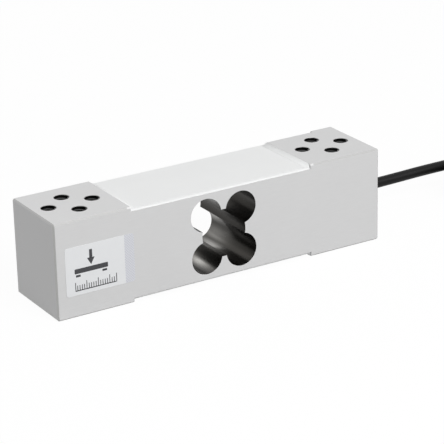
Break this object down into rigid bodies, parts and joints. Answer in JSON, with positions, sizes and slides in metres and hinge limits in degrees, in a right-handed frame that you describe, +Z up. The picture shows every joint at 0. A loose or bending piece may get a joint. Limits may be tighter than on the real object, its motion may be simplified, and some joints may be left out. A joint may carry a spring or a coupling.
{
  "type": "single point load cell",
  "caption": "Off-centre bending-beam load cell: a drilled and tapped metal block with a four-lobed cut-out, silicone-covered strain gauges and a shielded lead.",
  "frame": {"origin": "the middle of the block's underside, on the plane that it is bolted down by", "axes": "+X along the block to the end that the cable leaves, +Y to the rear face with the wiring pocket, +Z up through the loaded face"},
  "size_m": [0.3359, 0.0451, 0.04],
  "materials": {
    "black_sheath": "smooth extruded sheath",
    "board_laminate": "green solder mask",
    "component_ceramic": "moulded",
    "constantan_foil": "etched foil",
    "core_black": "smooth insulation",
    "core_green": "smooth insulation",
    "core_red": "smooth insulation",
    "core_white": "smooth insulation",
    "ferrule_brass": "plain",
    "flat_lead_sheath": "matt",
    "machined_aluminium": "satin machined, clear anodised",
    "polyimide_film": "amber film",
    "printed_label": "matt printed film",
    "solder": "bright",
    "tie_fabric": "woven hook and loop",
    "tinned_copper": "bright tinned",
    "white_silicone": "soft matt white"
  },
  "bodies": {
    "root": {"board_solder": "solder", "bottom_potting": "white_silicone", "cable_ferrule": "ferrule_brass", "cable_hank": "black_sheath", "cable_lead": "black_sheath", "cable_tail": "black_sheath", "compensation_board": "board_laminate", "flat_lead_bottom": "flat_lead_sheath", "flat_lead_top": "flat_lead_sheath", "gauge_carrier_bottom_cable_end": "polyimide_film", "gauge_carrier_bottom_free_end": "polyimide_film", "gauge_carrier_top_cable_end": "polyimide_film", "gauge_carrier_top_free_end": "polyimide_film", "gauge_grid_bottom_cable_end": "constantan_foil", "gauge_grid_bottom_free_end": "constantan_foil", "gauge_grid_top_cable_end": "constantan_foil", "gauge_grid_top_free_end": "constantan_foil", "gauge_solder_bottom": "solder", "gauge_solder_top": "solder", "hank_tie": "tie_fabric", "identity_label": "printed_label", "inner_core_black": "core_black", "inner_core_green": "core_green", "inner_core_red": "core_red", "inner_core_white": "core_white", "jumper_wires_bottom": "tinned_copper", "jumper_wires_top": "tinned_copper", "load_cell_beam": "machined_aluminium", "nickel_compensator": "component_ceramic", "rear_potting": "white_silicone", "shield_drain": "tinned_copper", "solder_strip_bottom": "polyimide_film", "solder_strip_top": "polyimide_film", "span_resistor": "component_ceramic", "tail_core_black": "core_black", "tail_core_green": "core_green", "tail_core_red": "core_red", "tail_core_white": "core_white", "tail_sleeve": "black_sheath", "tinned_tips": "tinned_copper", "top_potting": "white_silicone", "zero_trim_resistor": "component_ceramic"}
  },
  "joints": []
}
